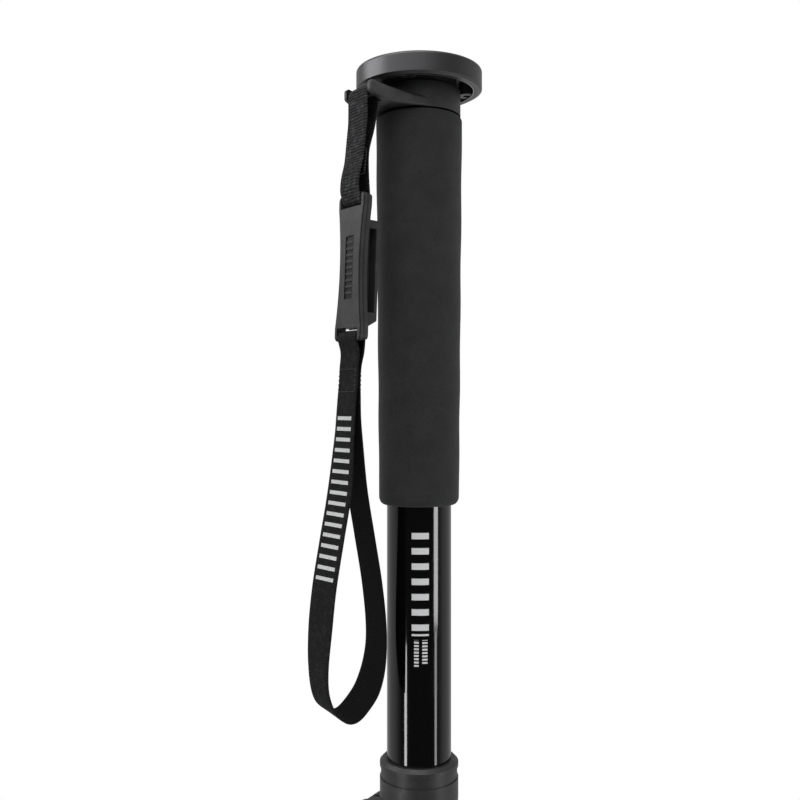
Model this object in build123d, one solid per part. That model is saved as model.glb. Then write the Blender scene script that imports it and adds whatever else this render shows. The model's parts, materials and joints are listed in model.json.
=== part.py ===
from build123d import *
import math
import os

# A four-section camera monopod, collapsed, with its foot's underside on the XY plane
# and its tubes' axis on Z. All sizes are in millimetres.

# Telescopic tubes, widest first
tube_radii = [15.0, 13.0, 11.0, 9.0]
tube_wall = 1.25
running_gap = 0.05
tube_top_step = 2.5

# Rubber foot and its plug
foot_height = 26.0
foot_radius = 16.5
foot_neck_radius = 11.6
foot_toe = 2.2
foot_flat_height = 7.0
foot_bulge = 0.9
tread_depth = 1.6
tread_width = 1.8
tread_pitch = 4.4
tread_count = 3
foot_rib_height = 2.0
foot_rib_depth = 0.8
foot_rib_pitch = 4.2
foot_rib_count = 3
plug_flange = 3.0
ferrule_height = 10.0
ferrule_wall = 2.6
plug_depth = 22.0
spigot_radius = 6.2
spigot_length = 17.0
ferrule_round = 0.8

# Clamp collars, one at the lower end of each of the three outer tubes
lock_heights = [42.0, 40.0, 38.0]
clamp_height = 21.0
collar_wall = 3.3
clamp_step = 0.6
collar_chamfer = 1.6
collar_round = 0.7
neck_height = 1.4
neck_half_angle = 78.0
band_depth = 0.5
band_height = 5.0
band_offset = 4.5
liner_wall = 0.6
liner_flange = 0.8
liner_flange_reach = 2.2
slit_width = 1.6
stack_gap = 0.4
lug_azimuth = 150.0

# Lugs, bolt, nut and bearing plate of a clamp
lug_thickness = 4.6
lug_reach = 9.0
lug_root = 2.4
lug_height = 17.0
lug_lift = 2.0
lug_round = 2.6
bolt_radius = 2.0
bolt_hole_clearance = 0.15
bolt_offset = 4.6
bolt_end_inset = 0.3
nut_half_flats = 3.5
nut_height = 2.8
nut_clearance = 0.12
nut_pocket_extra = 0.2
saddle_thickness = 0.8
saddle_half_width = 3.8
saddle_half_height = 8.0

# Cam lever and its pivot pin
cam_radius = 3.25
cam_offset = 0.15
cam_gap = 0.05
pin_radius = 1.5
pin_inset = 0.6
eye_radius = 2.9
eye_height = 5.0
eye_side_gap = 0.2
eye_round_gap = 1.4
lever_height = 18.4
lever_gap = 0.8
lever_thickness = 3.0
lever_start = 46.0
lever_end = 150.0
lever_tip_radius = 2.3
lever_tip_lift = 2.0
lever_tip_angle = 7.0
lever_panel_depth = 0.6
lever_panel_height = 9.0
lever_panel_start = 62.0
lever_panel_end = 132.0
lever_rib_count = 6
lever_rib_angle = 3.0
lever_rib_start = 96.0
lever_rib_pitch = 6.4

# Guide bushes on the top of each inner tube
guide_length = 24.0
guide_lip = 1.2
guide_groove_depth = 0.3
guide_groove_width = 3.0
guide_groove_count = 4

# Grip and bare tube above the first collar
bare_tube = 118.0
foam_length = 179.5
foam_bottom_radius = 18.66
foam_top_radius = 20.08
foam_bottom_drop = 3.6
foam_bottom_inset = 2.6
foam_top_round = 1.6

# Strap collar under the platform, with its slotted ear
collar_gap = 0.5
strap_collar_radius = 19.3
strap_collar_height = 12.4
strap_collar_round = 0.8
ear_azimuth = 217.5
ear_bar_radius = 2.2
ear_rise = 4.6
ear_reach = 31.9
ear_half_width = 10.2
ear_root_inset = 0.3
ear_arm = 2.1
ear_root_top = 3.9
ear_middle_top = 5.4
ear_tip_height = 5.6
ear_tip_drop = 0.9
ear_tip_round = 1.5
ear_ramp_inset = 3.0
ear_ramp_round = 8.0
ear_edge_round = 1.0
ear_slot_gap = 0.35
bar_clearance = 0.2

# Webbing of the strap
webbing_width = 15.0
webbing_thickness = 1.2

# Short loop between the ear and the connector
upper_drop = 46.8
connector_reach = 35.9
connector_tilt = 2.3
pinch_share = 0.87
pinch_drop = 31.5
pinch_bend = 12.0
tail_thickness = 1.3
tail_length = 9.0
tail_bite = 0.15

# Waisted connector between the two loops
connector_span = 61.8
end_bar_radius = 1.65
slot_to_face = 4.2
connector_top_half = 9.6
connector_waist_half = 7.5
connector_bottom_half = 9.8
connector_corner_round = 2.2
connector_front = 2.6
connector_rear = 2.4
connector_step = 0.5
connector_edge_round = 0.5
webbing_side_gap = 0.45
label_width = 6.2
label_height = 28.0
label_depth = 0.5
label_rib_count = 9
label_rib_height = 1.1
label_rib_inset = 0.5
peg_radius = 1.2
peg_length = 1.6
peg_spread = 15.0

# Moulding on the back of the connector
back_depth = 7.0
back_half_width = 5.6
back_top_rise = 22.0
back_length = 44.6
back_drop = 0.6
back_rim = 1.5
back_web = 1.6
back_end_wall = 3.6
back_slant = 4.0
back_round = 0.9

# Long wrist loop
sewn_start = 13.0
sewn_length = 12.0
sewn_gap = 0.1
sewn_bend = 6.0
opening_bend = 105.0
loop_side_radius = 45.0
loop_half_width = 15.8
loop_side_drop = 134.0
loop_bottom_radius = 15.2
loop_bottom_drop = 153.2
loop_shift = 2.6

# Platform, its rubber ring, studs and hub
plate_radius = 29.3
plate_rim_height = 8.8
plate_rim_drop = 0.7
plate_chamfer_height = 0.9
plate_ring_radius = 27.7
plate_ring_width = 2.5
plate_ceiling = 3.6
plate_top_round = 1.2
plate_gap = 0.1
boss_radius = 17.6
pad_outer_radius = 18.4
pad_inner_radius = 7.4
pad_thickness = 1.6
pad_proud = 0.5
pad_ring_width = 1.4
pad_ring_depth = 0.5
screw_circle = 23.6
screw_boss_radius = 3.9
screw_radius = 1.5
screw_recess = 1.0
screw_length = 5.4
screw_drop = 0.5
screw_socket_half_flats = 0.75
screw_socket_depth = 2.2
screw_count = 3
screw_start = 16.7
stud_radius = 3.175
stud_length = 5.5
stud_chamfer = 0.5
stud_root_radius = 4.76
stud_shoulder_radius = 6.2
stud_shoulder_height = 1.4
stud_root_length = 16.0
hub_plug_length = 24.0
hub_spigot_radius = 9.2
hub_spigot_height = 4.6
hub_relief_radius = 9.5
hub_relief_depth = 12.0

overrun = 1.0
tiny = 0.001

os.makedirs("parts", exist_ok=True)


def save(shape, name):
    export_step(shape, f"parts/{name}.step")


def ring(outer, inner, low, high):
    """A tube about Z between two heights."""
    body = Cylinder(outer, high - low, align=(Align.CENTER, Align.CENTER, Align.MIN))
    hole = Cylinder(inner, high - low + 2 * overrun)
    return Pos(0, 0, low) * body - Pos(0, 0, (low + high) / 2) * hole


def rod(radius, low, high):
    """A solid cylinder about Z between two heights."""
    return Pos(0, 0, low) * Cylinder(
        radius, high - low, align=(Align.CENTER, Align.CENTER, Align.MIN)
    )


def turned(points):
    """A body turned about Z from its half section, given as radius and height."""
    corners = [(radius, 0, height) for radius, height in points]
    return revolve(make_face(Polyline(*corners, close=True)), Axis.Z)


def rim(body, radius, height):
    """The circular edges of a body at one radius and height."""
    found = body.edges().filter_by(GeomType.CIRCLE)
    return [
        edge
        for edge in found
        if abs(edge.radius - radius) < tiny and abs(edge.center().Z - height) < tiny
    ]


def sector(outer, inner, low, high, start, end):
    """Part of a ring between two angles in degrees."""
    reach = 2 * outer
    turn = (end - start) / 4
    points = [(0, 0)]
    for step in range(5):
        angle = math.radians(start + turn * step)
        points.append((reach * math.cos(angle), reach * math.sin(angle)))
    wedge = extrude(make_face(Polyline(*points, close=True)), amount=high - low)
    return ring(outer, inner, low, high) & (Pos(0, 0, low) * wedge)


def belt_edges(pulleys, shift):
    """The closed line round pulleys of signed radius, moved outward by a shift.

    A pulley is its place across and up and its radius, which is negative where the
    belt bends the other way round it. The line runs anticlockwise.
    """
    count = len(pulleys)
    leaves = []
    enters = []
    for index in range(count):
        across, up, radius = pulleys[index]
        next_across, next_up, next_radius = pulleys[(index + 1) % count]
        radius = radius + shift
        next_radius = next_radius + shift
        gap = math.hypot(next_across - across, next_up - up)
        change = next_radius - radius
        run = math.sqrt(gap * gap - change * change)
        way = math.atan2(next_up - up, next_across - across) - math.atan2(change, run)
        left = (-math.sin(way), math.cos(way))
        leaves.append((across - radius * left[0], up - radius * left[1]))
        enters.append((next_across - next_radius * left[0], next_up - next_radius * left[1]))
    edges = []
    for index in range(count):
        across, up, radius = pulleys[index]
        radius = radius + shift
        start = enters[index - 1]
        end = leaves[index]
        first = math.atan2(start[1] - up, start[0] - across)
        last = math.atan2(end[1] - up, end[0] - across)
        swing = (last - first) % (2 * math.pi)
        if radius < 0:
            swing = swing - 2 * math.pi
        middle = first + swing / 2
        size = abs(radius)
        halfway = (across + size * math.cos(middle), up + size * math.sin(middle))
        edges.append(
            ThreePointArc((start[0], 0, start[1]), (halfway[0], 0, halfway[1]), (end[0], 0, end[1]))
        )
        following = enters[index]
        edges.append(Line((end[0], 0, end[1]), (following[0], 0, following[1])))
    return edges


def webbing_band(pulleys):
    """A closed band of webbing that follows a belt line through its middle."""
    half = webbing_thickness / 2
    outer = make_face(Wire(belt_edges(pulleys, half)))
    inner = make_face(Wire(belt_edges(pulleys, -half)))
    reach = webbing_width / 2
    return extrude(outer, amount=reach, both=True) - extrude(inner, amount=reach, both=True)


def at_ear(shape):
    """Turns a strap piece, built with X outward and Y across, to the ear's side."""
    return Rot(0, 0, ear_azimuth) * shape


# Heights, worked up from the foot
plug_bottom = foot_height
ferrule_top = plug_bottom + plug_flange + ferrule_height
lock_bottoms = [0, 0, 0]
next_bottom = ferrule_top + stack_gap + liner_flange
for level in (2, 1, 0):
    lock_bottoms[level] = next_bottom
    next_bottom = next_bottom + lock_heights[level] + stack_gap + liner_flange
lock_1_top = lock_bottoms[0] + lock_heights[0]
foam_bottom = lock_1_top + bare_tube
foam_top = foam_bottom + foam_length
collar_bottom = foam_top + collar_gap
collar_top = collar_bottom + strap_collar_height
plate_underside = collar_top + plate_gap
plate_rim_underside = plate_underside - plate_rim_drop
plate_widest = plate_rim_underside + plate_chamfer_height
plate_top = plate_widest + plate_rim_height
tube_1_top = collar_top - plate_gap
hub_bottom = tube_1_top - hub_plug_length
tube_bores = [radius - tube_wall for radius in tube_radii]
ear_height = collar_bottom + ear_rise
ear_wrap = ear_bar_radius + bar_clearance + webbing_thickness
ear_tip_reach = ear_reach + ear_wrap
ear_slot_reach = ear_reach - ear_wrap - ear_slot_gap
top_bar_height = ear_height - upper_drop
connector_lean = math.radians(connector_tilt)
bottom_bar_height = top_bar_height - connector_span * math.cos(connector_lean)
bottom_bar_reach = connector_reach + connector_span * math.sin(connector_lean)
connector_middle = -connector_span / 2
pinch_reach = ear_reach + (connector_reach - ear_reach) * pinch_share


def make_tubes():
    for level in range(4):
        if level < 3:
            low = lock_bottoms[level] + clamp_height
        else:
            low = plug_bottom + plug_flange
        high = tube_1_top if level == 0 else hub_bottom - tube_top_step * level
        save(ring(tube_radii[level], tube_bores[level], low, high), f"tube_{level + 1}")


def make_guides():
    for level in range(1, 4):
        top = hub_bottom - tube_top_step * level
        outer = tube_bores[level - 1] - running_gap
        sleeve = ring(outer, tube_radii[level], top - guide_length, top)
        lip = ring(outer, tube_bores[level], top, top + guide_lip)
        guide = sleeve + lip
        groove = Box(
            guide_groove_depth + overrun,
            guide_groove_width,
            guide_length,
            align=(Align.MIN, Align.CENTER, Align.MAX),
        )
        for turn in range(guide_groove_count):
            place = Rot(0, 0, turn * 360 / guide_groove_count)
            guide = guide - place * Pos(outer - guide_groove_depth, 0, top - guide_lip) * groove
        save(guide, f"guide_{level + 1}")


def clamp_sizes(level):
    """The radii and places that the pieces of one clamp share."""
    sizes = {}
    sizes["outer"] = tube_radii[level] + collar_wall
    sizes["clamp"] = sizes["outer"] - clamp_step
    sizes["liner_in"] = tube_radii[level + 1] + running_gap
    sizes["liner_out"] = sizes["liner_in"] + liner_wall
    sizes["bolt_x"] = sizes["clamp"] + bolt_offset
    sizes["bolt_z"] = lock_bottoms[level] + lug_lift + lug_height / 2
    sizes["lug_side"] = slit_width / 2 + lug_thickness
    sizes["pivot_y"] = (
        sizes["lug_side"] + saddle_thickness + cam_gap + cam_radius + cam_offset
    )
    return sizes


def across_bolt(sizes, radius, low, high):
    """A cylinder along the bolt, between two distances from the slit's middle."""
    length = high - low
    body = Rot(90, 0, 0) * Cylinder(radius, length)
    return Pos(sizes["bolt_x"], (low + high) / 2, sizes["bolt_z"]) * body


def hexagon(half_flats, height):
    corner = half_flats / math.cos(math.radians(30))
    return extrude(RegularPolygon(corner, 6), amount=height)


def make_lock_body(level, sizes):
    low = lock_bottoms[level]
    high = low + lock_heights[level]
    seat = low + clamp_height
    outer = sizes["outer"]
    clamp = sizes["clamp"]
    body = turned(
        [
            (0, low),
            (clamp - collar_round, low),
            (clamp, low + collar_round),
            (clamp, seat),
            (outer, seat + clamp_step + neck_height),
            (outer, high - collar_chamfer),
            (outer - collar_chamfer, high),
            (0, high),
        ]
    )
    band_middle = high - collar_chamfer - band_offset
    band = ring(
        outer + overrun,
        outer - band_depth,
        band_middle - band_height / 2,
        band_middle + band_height / 2,
    )
    body = body - band
    lugs = Box(
        lug_reach + lug_root,
        2 * sizes["lug_side"],
        lug_height,
        align=(Align.MIN, Align.CENTER, Align.MIN),
    )
    lugs = fillet(lugs.edges().filter_by(Axis.Y).group_by(Axis.X)[-1], lug_round)
    body = body + Pos(clamp - lug_root, 0, low + lug_lift) * lugs
    body = body - rod(sizes["liner_out"], low - overrun, seat + overrun)
    body = body - rod(tube_radii[level], seat, high + overrun)
    slit = Box(
        clamp + lug_reach + overrun,
        slit_width,
        clamp_height + overrun,
        align=(Align.MIN, Align.CENTER, Align.MIN),
    )
    body = body - Pos(0, 0, low - overrun) * slit
    relief = sector(
        clamp + lug_reach + overrun,
        tube_radii[level + 1],
        seat - neck_height,
        seat,
        -neck_half_angle,
        neck_half_angle,
    )
    body = body - relief
    hole = bolt_radius + bolt_hole_clearance
    body = body - across_bolt(
        sizes, hole, -sizes["lug_side"] - overrun, sizes["lug_side"] + overrun
    )
    pocket_depth = nut_height + nut_pocket_extra
    pocket = Rot(90, 0, 0) * hexagon(nut_half_flats + nut_clearance, pocket_depth + overrun)
    pocket_floor = pocket_depth - sizes["lug_side"]
    return body - Pos(sizes["bolt_x"], pocket_floor, sizes["bolt_z"]) * pocket


def make_liner(level, sizes):
    low = lock_bottoms[level]
    liner = ring(sizes["liner_out"], sizes["liner_in"], low, low + clamp_height)
    flange_out = sizes["liner_out"] + liner_flange_reach
    liner = liner + ring(flange_out, sizes["liner_in"], low - liner_flange, low)
    slit = Box(
        flange_out + overrun,
        slit_width,
        clamp_height + liner_flange + 2 * overrun,
        align=(Align.MIN, Align.CENTER, Align.MIN),
    )
    return liner - Pos(0, 0, low - liner_flange - overrun) * slit


def make_bolt(sizes):
    """An eye bolt: its eye takes the pivot pin and its shank crosses both lugs."""
    eye = Pos(sizes["bolt_x"], sizes["pivot_y"], sizes["bolt_z"]) * Cylinder(
        eye_radius, eye_height
    )
    shank = across_bolt(
        sizes, bolt_radius, bolt_end_inset - sizes["lug_side"], sizes["pivot_y"]
    )
    hole = Pos(sizes["bolt_x"], sizes["pivot_y"], sizes["bolt_z"]) * Cylinder(
        pin_radius, eye_height + 2 * overrun
    )
    return eye + shank - hole


def make_nut(sizes):
    pocket_floor = nut_height + nut_pocket_extra - sizes["lug_side"]
    nut = Rot(90, 0, 0) * hexagon(nut_half_flats, nut_height)
    nut = Pos(sizes["bolt_x"], pocket_floor, sizes["bolt_z"]) * nut
    return nut - across_bolt(
        sizes, bolt_radius, -sizes["lug_side"] - overrun, sizes["lug_side"]
    )


def make_saddle(sizes):
    saddle = Box(
        2 * saddle_half_width,
        saddle_thickness,
        2 * saddle_half_height,
        align=(Align.CENTER, Align.MIN, Align.CENTER),
    )
    saddle = Pos(sizes["bolt_x"], sizes["lug_side"], sizes["bolt_z"]) * saddle
    hole = bolt_radius + bolt_hole_clearance
    return saddle - across_bolt(
        sizes, hole, sizes["lug_side"] - overrun, sizes["lug_side"] + 2 * overrun
    )


def make_pin(sizes):
    length = lever_height - 2 * pin_inset
    pin = Cylinder(pin_radius, length)
    return Pos(sizes["bolt_x"], sizes["pivot_y"], sizes["bolt_z"]) * pin


def disc_at(radius, angle, size):
    turn = math.radians(angle)
    return Pos(radius * math.cos(turn), radius * math.sin(turn)) * Circle(size)


def joined(first, second):
    """The flat outline drawn tight round two discs."""
    return make_hull(first.edges() + second.edges())


def make_lever(sizes):
    """A cam lever, closed: its arm follows the clamp and its cam faces the saddle."""
    inner = sizes["clamp"] + lever_gap
    outer = inner + lever_thickness
    middle = (inner + outer) / 2
    half = lever_thickness / 2
    low = sizes["bolt_z"] - lever_height / 2
    cam = Pos(sizes["bolt_x"], sizes["pivot_y"] - cam_offset) * Circle(cam_radius)
    root = joined(cam, disc_at(middle, lever_start, half))
    tip_place = disc_at(middle + lever_tip_lift, lever_end + lever_tip_angle, lever_tip_radius)
    tip = joined(disc_at(middle, lever_end, half), tip_place)
    lever = Pos(0, 0, low) * (
        extrude(root, amount=lever_height) + extrude(tip, amount=lever_height)
    )
    lever = lever + sector(outer, inner, low, low + lever_height, lever_start, lever_end)
    panel_low = sizes["bolt_z"] - lever_panel_height / 2
    panel_high = sizes["bolt_z"] + lever_panel_height / 2
    panel = sector(
        outer + overrun,
        outer - lever_panel_depth,
        panel_low,
        panel_high,
        lever_panel_start,
        lever_panel_end,
    )
    for rib in range(lever_rib_count):
        start = lever_rib_start + rib * lever_rib_pitch
        panel = panel - sector(
            outer + 2 * overrun,
            inner,
            panel_low - overrun,
            panel_high + overrun,
            start,
            start + lever_rib_angle,
        )
    lever = lever - panel
    pivot = Pos(sizes["bolt_x"], sizes["pivot_y"], sizes["bolt_z"])
    lever = lever - pivot * Cylinder(
        eye_radius + eye_round_gap, eye_height + 2 * eye_side_gap
    )
    return lever - pivot * Cylinder(pin_radius + running_gap, lever_height + 2 * overrun)


def make_locks():
    turn = Rot(0, 0, lug_azimuth)
    for level in range(3):
        sizes = clamp_sizes(level)
        number = level + 1
        save(turn * make_lock_body(level, sizes), f"lock_body_{number}")
        save(turn * make_liner(level, sizes), f"lock_liner_{number}")
        save(turn * make_bolt(sizes), f"lock_bolt_{number}")
        save(turn * make_nut(sizes), f"lock_nut_{number}")
        save(turn * make_saddle(sizes), f"lock_saddle_{number}")
        save(turn * make_pin(sizes), f"lock_pin_{number}")
        save(turn * make_lever(sizes), f"lock_lever_{number}")


def make_foot():
    plug_low = plug_bottom + plug_flange
    ferrule_radius = tube_radii[3] + ferrule_wall
    plug = rod(ferrule_radius, plug_bottom, ferrule_top)
    plug = fillet(rim(plug, ferrule_radius, ferrule_top), ferrule_round)
    plug = plug - ring(tube_radii[3], tube_bores[3], plug_low, ferrule_top + overrun)
    plug = plug + rod(tube_bores[3], plug_low, plug_low + plug_depth)
    plug = plug + rod(spigot_radius, plug_bottom - spigot_length, plug_bottom)
    save(plug, "foot_plug")

    foot = turned(
        [
            (0, 0),
            (foot_radius - foot_toe, 0),
            (foot_radius, foot_toe),
            (foot_radius, foot_flat_height),
            (foot_neck_radius + foot_bulge, foot_height - foot_toe),
            (foot_neck_radius, foot_height),
            (0, foot_height),
        ]
    )
    foot = fillet(rim(foot, foot_radius, foot_flat_height), foot_flat_height / 2)
    for groove in range(tread_count):
        inner = tread_pitch * groove + tread_pitch / 2
        foot = foot - ring(inner + tread_width, inner, -tread_depth, tread_depth)
    slope_run = foot_radius - foot_neck_radius - foot_bulge
    slope_rise = foot_height - foot_toe - foot_flat_height
    for rib in range(foot_rib_count):
        low = foot_height - foot_toe - foot_rib_pitch * (rib + 1)
        share = (foot_height - foot_toe - low) / slope_rise
        surface = foot_neck_radius + foot_bulge + slope_run * share
        foot = foot - ring(surface + foot_radius, surface - foot_rib_depth, low, low + foot_rib_height)
    foot = foot - rod(spigot_radius, plug_bottom - spigot_length, foot_height + overrun)
    save(foot, "rubber_foot")


def make_grip():
    foam = turned(
        [
            (tube_radii[0], foam_bottom),
            (foam_bottom_radius - foam_bottom_inset, foam_bottom),
            (foam_bottom_radius, foam_bottom + foam_bottom_drop),
            (foam_top_radius, foam_top),
            (tube_radii[0], foam_top),
        ]
    )
    foam = fillet(rim(foam, foam_top_radius, foam_top), foam_top_round)
    shoulder = rim(foam, foam_bottom_radius, foam_bottom + foam_bottom_drop)
    save(fillet(shoulder, foam_bottom_inset), "foam_grip")


def ear_block():
    """The ear before its slot: its flanks run into the ring, and it rises to a thinner tip."""
    tip = Line((ear_tip_reach, -ear_half_width), (ear_tip_reach, ear_half_width))
    outline = make_hull(Circle(strap_collar_radius - ear_root_inset).edges() + ShapeList([tip]))
    ramp_start = (ear_slot_reach - ear_ramp_inset, 0, 0)
    tip_low = (ear_tip_reach, 0, ear_rise - ear_tip_drop)
    tip_high = (ear_tip_reach, 0, ear_rise - ear_tip_drop + ear_tip_height)
    middle = (strap_collar_radius, 0, ear_middle_top)
    profile = [
        Line((0, 0, 0), ramp_start),
        Line(ramp_start, tip_low),
        Line(tip_low, tip_high),
        ThreePointArc(tip_high, middle, (0, 0, ear_root_top)),
        Line((0, 0, ear_root_top), (0, 0, 0)),
    ]
    side = make_face(Wire(profile))
    side = fillet(side.vertices().group_by(Axis.X)[-1], ear_tip_round)
    side = fillet(side.vertices().sort_by_distance(ramp_start)[0], ear_ramp_round)
    block = extrude(outline, amount=strap_collar_height)
    block = block & extrude(side, amount=strap_collar_radius, both=True)
    across = block.faces().filter_by(GeomType.PLANE).sort_by(Axis.Y)
    flanks = across[0].edges() + across[-1].edges()
    sharp = flanks.filter_by(lambda edge: edge.center().X > strap_collar_radius / 2)
    return fillet(sharp, ear_edge_round)


def make_strap_collar():
    """The collar's ring and its ear, with a slot for the webbing and a round bar across it."""
    collar = rod(strap_collar_radius, collar_bottom, collar_top)
    collar = fillet(rim(collar, strap_collar_radius, collar_top), strap_collar_round)
    collar = collar + Pos(0, 0, collar_bottom) * ear_block()
    slot = Box(
        ear_tip_reach - ear_slot_reach + overrun,
        2 * (ear_half_width - ear_arm),
        strap_collar_height + 2 * overrun,
        align=(Align.MIN, Align.CENTER, Align.MIN),
    )
    collar = collar - Pos(ear_slot_reach, 0, collar_bottom - overrun) * slot
    bar = Rot(90, 0, 0) * Cylinder(ear_bar_radius, 2 * ear_half_width - ear_arm)
    collar = collar + Pos(ear_reach, 0, ear_height) * bar
    collar = collar - rod(tube_radii[0], collar_bottom - overrun, collar_top + overrun)
    save(at_ear(collar), "strap_collar")


def make_upper_loop():
    ear_belt = ear_wrap - webbing_thickness / 2
    end_wrap = end_bar_radius + bar_clearance + webbing_thickness / 2
    layer = (tail_thickness + webbing_thickness) / 2 - tail_bite
    pinch_height = ear_height - pinch_drop
    side = layer + pinch_bend
    band = webbing_band(
        [
            (ear_reach, ear_height, ear_belt),
            (pinch_reach - side, pinch_height, -pinch_bend),
            (connector_reach, top_bar_height, end_wrap),
            (pinch_reach + side, pinch_height, -pinch_bend),
        ]
    )
    tail = Box(tail_thickness, webbing_width, tail_length)
    tail = Pos(pinch_reach, 0, pinch_height) * tail
    tail = fillet(tail.edges().filter_by(Axis.Y), tail_thickness / 3)
    save(at_ear(band + tail), "strap_upper_loop")


def connector_outline(inset):
    """The waisted outline of the connector, across and up from its upper bar."""
    top = end_bar_radius - inset
    bottom = inset - connector_span - end_bar_radius
    shoulder = -slot_to_face
    foot = slot_to_face - connector_span
    top_half = connector_top_half - inset
    waist_half = connector_waist_half - inset
    bottom_half = connector_bottom_half - inset
    edges = [
        Line((0, bottom_half, foot), (0, bottom_half, bottom)),
        Line((0, bottom_half, bottom), (0, -bottom_half, bottom)),
        Line((0, -bottom_half, bottom), (0, -bottom_half, foot)),
        ThreePointArc(
            (0, -bottom_half, foot), (0, -waist_half, connector_middle), (0, -top_half, shoulder)
        ),
        Line((0, -top_half, shoulder), (0, -top_half, top)),
        Line((0, -top_half, top), (0, top_half, top)),
        Line((0, top_half, top), (0, top_half, shoulder)),
        ThreePointArc(
            (0, top_half, shoulder), (0, waist_half, connector_middle), (0, bottom_half, foot)
        ),
    ]
    outline = make_face(Wire(edges))
    ends = outline.vertices().group_by(Axis.Z)
    return fillet(ends[0] + ends[-1], connector_corner_round - inset)


def hung(shape):
    """Leans a piece of the connector, built about its upper bar, and hangs it in the short loop."""
    return at_ear(Pos(connector_reach, 0, top_bar_height) * Rot(0, -connector_tilt, 0) * shape)


def make_connector():
    front = extrude(connector_outline(0), amount=connector_front, dir=(1, 0, 0))
    front = fillet(front.faces().sort_by(Axis.X)[-1].edges(), connector_edge_round)
    rear = extrude(connector_outline(connector_step), amount=connector_rear, dir=(-1, 0, 0))
    body = front + rear
    depth = connector_front + connector_rear
    gap_half = webbing_width / 2 + webbing_side_gap
    pocket = Box(
        depth + 2 * overrun,
        2 * gap_half,
        slot_to_face + end_bar_radius + overrun,
        align=(Align.CENTER, Align.CENTER, Align.MIN),
    )
    pocket_low = -connector_span - end_bar_radius - overrun
    body = body - Pos(0, 0, -slot_to_face) * pocket - Pos(0, 0, pocket_low) * pocket
    for height in (0, -connector_span):
        bar = Rot(90, 0, 0) * Cylinder(end_bar_radius, 2 * gap_half)
        body = body + Pos(0, 0, height) * bar
    label = Box(
        label_depth + overrun,
        label_width,
        label_height,
        align=(Align.MIN, Align.CENTER, Align.CENTER),
    )
    label = Pos(connector_front - label_depth, 0, connector_middle) * label
    pitch = label_height / (label_rib_count + 1)
    for rib in range(label_rib_count):
        height = connector_middle - label_height / 2 + pitch * (rib + 1)
        mark = Box(
            2 * label_depth,
            label_width - 2 * label_rib_inset,
            label_rib_height,
            align=(Align.MAX, Align.CENTER, Align.CENTER),
        )
        label = label - Pos(connector_front - label_depth / 3, 0, height) * mark
    body = body - label
    for side in (-1, 1):
        hole = Rot(0, 90, 0) * Cylinder(peg_radius, peg_length + overrun)
        height = connector_middle + side * peg_spread
        place = Pos(-connector_rear + (peg_length - overrun) / 2, 0, height)
        body = body - place * hole
    save(hung(body), "strap_connector")


def make_connector_back():
    """The moulding behind the connector: a rim round a web, open at both sides."""
    high = connector_middle + back_top_rise - back_drop
    low = high - back_length
    outline = [
        (0, 0, high),
        (-back_depth, 0, high),
        (-back_depth, 0, low),
        (0, 0, low - back_slant),
    ]
    face = make_face(Polyline(*outline, close=True))
    block = extrude(face, amount=back_half_width, both=True)
    block = fillet(block.edges().filter_by(Axis.Y).group_by(Axis.X)[0], back_round)
    pocket_width = back_half_width - back_web / 2
    pocket = Box(
        back_depth - back_rim,
        pocket_width + overrun,
        back_length - 2 * back_end_wall,
        align=(Align.MAX, Align.MIN, Align.MIN),
    )
    for side in (0, 180):
        place = Pos(0, 0, low + back_end_wall)
        cut = place * Pos(0, back_web / 2, 0) * pocket
        if side:
            cut = mirror(cut, about=Plane.XZ)
        block = block - cut
    for side in (-1, 1):
        peg = Rot(0, 90, 0) * Cylinder(peg_radius, peg_length)
        block = block + Pos(peg_length / 2, 0, connector_middle + side * peg_spread) * peg
    save(hung(Pos(-connector_rear, 0, 0) * block), "connector_back")


def make_wrist_loop():
    end_wrap = end_bar_radius + bar_clearance + webbing_thickness / 2
    layer = (sewn_gap + webbing_thickness) / 2
    sewn_top = bottom_bar_height - sewn_start
    sewn_low = sewn_top - sewn_length
    side_height = bottom_bar_height - loop_side_drop
    bottom_height = bottom_bar_height - loop_bottom_drop
    centre = bottom_bar_reach + loop_shift
    reach = loop_side_radius - loop_half_width
    band = webbing_band(
        [
            (bottom_bar_reach, bottom_bar_height, end_wrap),
            (bottom_bar_reach - layer - sewn_bend, sewn_top, -sewn_bend),
            (bottom_bar_reach - layer - opening_bend, sewn_low, -opening_bend),
            (centre + reach, side_height, loop_side_radius),
            (centre, bottom_height, loop_bottom_radius),
            (centre - reach, side_height, loop_side_radius),
            (bottom_bar_reach + layer + opening_bend, sewn_low, -opening_bend),
            (bottom_bar_reach + layer + sewn_bend, sewn_top, -sewn_bend),
        ]
    )
    save(at_ear(band), "wrist_loop")


def around_screws(shape, radius):
    """Copies of a shape at the set screws' places."""
    placed = []
    for index in range(screw_count):
        turn = Rot(0, 0, screw_start + index * 360 / screw_count)
        placed.append(turn * Pos(radius, 0, 0) * shape)
    return placed


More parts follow.
